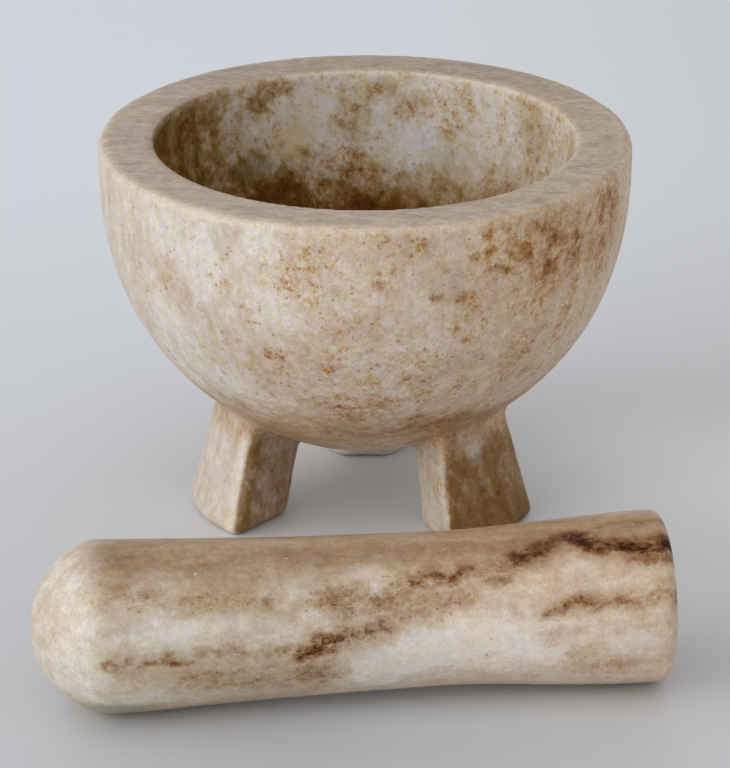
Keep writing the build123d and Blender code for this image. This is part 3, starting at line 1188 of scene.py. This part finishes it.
# %% Paint of the table
PAINTED_LIGHT_FILM = (1.22, 1.23, 1.24, 1.0)
PAINTED_SHADOW_FILM = (0.90, 0.91, 0.92, 1.0)
PAINTED_BLUISH_LIGHT_FILM = (1.05, 1.075, 1.10, 1.0)
x, y = apart(place)[:2]
# Painted light: lighter and bluer towards the back, darker and warmer to the right.
painted_light_far_off = rise(y + 0.04 * wander(place, 0.09), -0.22, 0.30)
table = blend_colours(painted_light_far_off, paint(208, 209, 211), paint(240, 243, 248))
table = blend_colours(0.5 * rise(x, 0.0, 0.12), table, paint(226, 224, 220))
# Painted light over the shadow right of the legs and over the pestle's contact shadow, and a painted
# shadow in front of the pestle.
painted_light_right_of_legs = patch(place, (72, 14, 0), (75, 60, 60), soft=0.9)
painted_shadow_front_middle = patch(place, (8, -154, 0), (85, 34, 60), soft=1.0)
painted_light_beside_pestle = patch(place, (2, -129, 0), (85, 20, 60), soft=1.0)
table = glaze(painted_light_right_of_legs, table, PAINTED_LIGHT_FILM)
table = glaze(painted_shadow_front_middle, table, PAINTED_SHADOW_FILM)
table = glaze(painted_light_beside_pestle, table, PAINTED_BLUISH_LIGHT_FILM)
feed(tree, shader.inputs["Base Color"], table)
shader.inputs["Roughness"].default_value = 0.45
tally(tree, "paint of the table")

# %% [markdown]
# ## Light
# One big soft lamp stands low at the left and a little in front, as a window would, and an even pale
# surround fills the shade. A small lamp would draw hard shadows and a bright spot on honed stone.
# The view transform is Standard, so that a paint shows as it was mixed.

# %% Window and surround
def soft_lamp(name, azimuth, height, distance, size, power):
    """A square soft box that looks at the stones."""
    lamp = bpy.data.lights.new(name, "AREA")
    lamp.size = size
    lamp.energy = power
    box = bpy.data.objects.new(name, lamp)
    bpy.context.scene.collection.objects.link(box)
    turn, lift = math.radians(azimuth), math.radians(height)
    away = Vector((math.cos(turn) * math.cos(lift), math.sin(turn) * math.cos(lift), math.sin(lift)))
    box.location = away * distance
    box.rotation_euler = away.to_track_quat("Z", "Y").to_euler()


soft_lamp("window", azimuth=212, height=16, distance=1.7, size=1.5, power=15.0)
world = bpy.data.worlds.new("surround")
world.use_nodes = True
tree = world.node_tree
direction = Reading(tree, tree.nodes.new("ShaderNodeTexCoord").outputs["Generated"])
from_left = steer("DOT_PRODUCT", direction, (-0.8, -0.6, 0.0))
height = apart(direction)[2]
glow = 0.50 + 0.30 * rise(from_left, -0.6, 1.0) + 0.25 * rise(height, 0.7, 0.0)
background = tree.nodes["Background"]
background.inputs["Color"].default_value = (0.95, 0.97, 1.0, 1.0)
feed(tree, background.inputs["Strength"], glow)
bpy.context.scene.world = world
bpy.context.scene.view_settings.view_transform = "Standard"
print("the surround has", len(tree.nodes), "nodes")

# %% [markdown]
# ## Camera
# The lens is long, so the camera stands far off and looks down gently, and the round rim keeps its
# true shape. A short lens close by would swell the pestle and shrink the far side of the bowl.

# %% Camera
CAMERA_BACK = 1.4171
CAMERA_UP = 0.5829
LOOK_DOWN = 21.38
lens = bpy.data.cameras.new("camera")
lens.lens = 296.0
lens.clip_end = 20.0
camera = bpy.data.objects.new("camera", lens)
camera.location = (0.0, -CAMERA_BACK, CAMERA_UP)
camera.rotation_euler = (math.radians(90 - LOOK_DOWN), 0.0, 0.0)
bpy.context.scene.collection.objects.link(camera)
bpy.context.scene.camera = camera
print("the camera looks from", camera.location[:])
